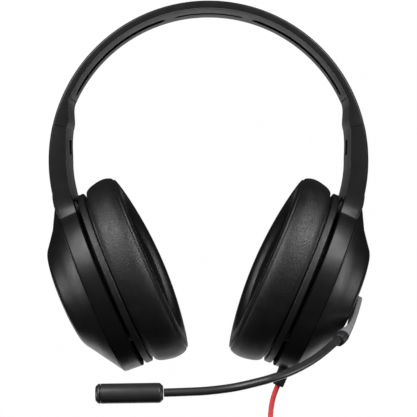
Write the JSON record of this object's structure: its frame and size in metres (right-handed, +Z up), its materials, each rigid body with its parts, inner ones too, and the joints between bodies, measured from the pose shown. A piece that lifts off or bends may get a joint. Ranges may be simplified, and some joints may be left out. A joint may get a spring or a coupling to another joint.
{
  "type": "gaming headset",
  "caption": "Over-ear headset with a sprung headband, sliding arms, tilting padded cups, a swinging microphone boom and a USB lead wound in a tied coil.",
  "frame": {"origin": "middle of the liner's underside at the crown, where the headset rests on the top of the head", "axes": "+Z up, +X towards the wearer's left (the side with the boom and the lead), -Y towards the wearer's front"},
  "size_m": [0.1702, 0.133, 0.3107],
  "materials": {
    "shell_plastic": "satin black moulded plastic with a fine spark texture",
    "liner_rubber": "soft-touch dark grey",
    "spring_steel": "plain spring steel",
    "inner_plastic": "matt black moulded plastic",
    "leatherette": "black grained leatherette",
    "mesh_fabric": "fine black acoustic mesh",
    "boom_silver": "satin silver-grey paint",
    "boom_rubber": "smooth black rubber",
    "cable_red": "semi-gloss red jacket",
    "board_green": "green solder mask"
  },
  "bodies": {
    "headband": {"headband_shell": "shell_plastic", "headband_liner": "liner_rubber", "headband_spring": "spring_steel", "left_sleeve_cover": "inner_plastic", "right_sleeve_cover": "inner_plastic", "left_slider_strip": "spring_steel", "right_slider_strip": "spring_steel", "left_strip_rivet": "spring_steel", "right_strip_rivet": "spring_steel"},
    "left_arm": {"left_yoke": "shell_plastic", "left_arm_cover": "inner_plastic", "left_stop_pin": "spring_steel", "left_detent_spring": "spring_steel", "left_outer_cover": "shell_plastic", "circuit_board": "board_green", "cable_boot": "boom_rubber", "cord_lead": "cable_red", "cord_coil": "cable_red", "cord_tail": "cable_red", "cable_tie": "boom_rubber", "usb_plug_grip": "boom_rubber", "usb_plug_shell": "spring_steel", "usb_tongue": "inner_plastic"},
    "right_arm": {"right_yoke": "shell_plastic", "right_arm_cover": "inner_plastic", "right_stop_pin": "spring_steel", "right_detent_spring": "spring_steel", "right_outer_cover": "shell_plastic"},
    "left_cup": {"left_baffle": "inner_plastic", "left_cushion_ring": "leatherette", "left_ear_mesh": "mesh_fabric", "left_driver": "inner_plastic", "left_ear_cushion": "leatherette"},
    "right_cup": {"right_baffle": "inner_plastic", "right_cushion_ring": "leatherette", "right_ear_mesh": "mesh_fabric", "right_driver": "inner_plastic", "right_ear_cushion": "leatherette"},
    "boom": {"boom_arm": "boom_silver", "boom_hub_pin": "spring_steel", "boom_collar": "boom_rubber", "boom_tube": "boom_rubber", "mic_housing": "inner_plastic", "mic_end_cap": "inner_plastic", "mic_element": "spring_steel"},
    "volume_wheel": {"volume_wheel": "boom_rubber"},
    "mute_button": {"mute_button": "boom_rubber"}
  },
  "joints": [
    {"name": "left_slider", "type": "slide", "parent": "headband", "child": "left_arm", "axis": [0.0698, 0, -0.9976], "range_m": [0, 0.024]},
    {"name": "right_slider", "type": "slide", "parent": "headband", "child": "right_arm", "axis": [-0.0698, 0, -0.9976], "range_m": [0, 0.024]},
    {"name": "left_cup_tilt", "type": "hinge", "parent": "left_arm", "child": "left_cup", "pos_m": [0.05683, 0, -0.14319], "axis": [0, 1, 0], "range_deg": [-1.8, 1.8]},
    {"name": "right_cup_tilt", "type": "hinge", "parent": "right_arm", "child": "right_cup", "pos_m": [-0.05683, 0, -0.14319], "axis": [0, 1, 0], "range_deg": [-1.8, 1.8]},
    {"name": "boom_swing", "type": "hinge", "parent": "left_arm", "child": "boom", "pos_m": [0.07597, 0, -0.1555], "axis": [-0.9232, 0, 0.3843], "range_deg": [0, 76]},
    {"name": "volume_wheel_turn", "type": "hinge", "parent": "left_arm", "child": "volume_wheel", "pos_m": [0.0512, 0.0302, -0.16295], "axis": [0.9232, 0, -0.3843], "range_deg": [-140, 140]},
    {"name": "mute_button_press", "type": "slide", "parent": "left_arm", "child": "mute_button", "axis": [-0.1007, -0.9651, -0.2419], "range_m": [0, 0.0006], "stiffness_N_per_m": 800}
  ]
}
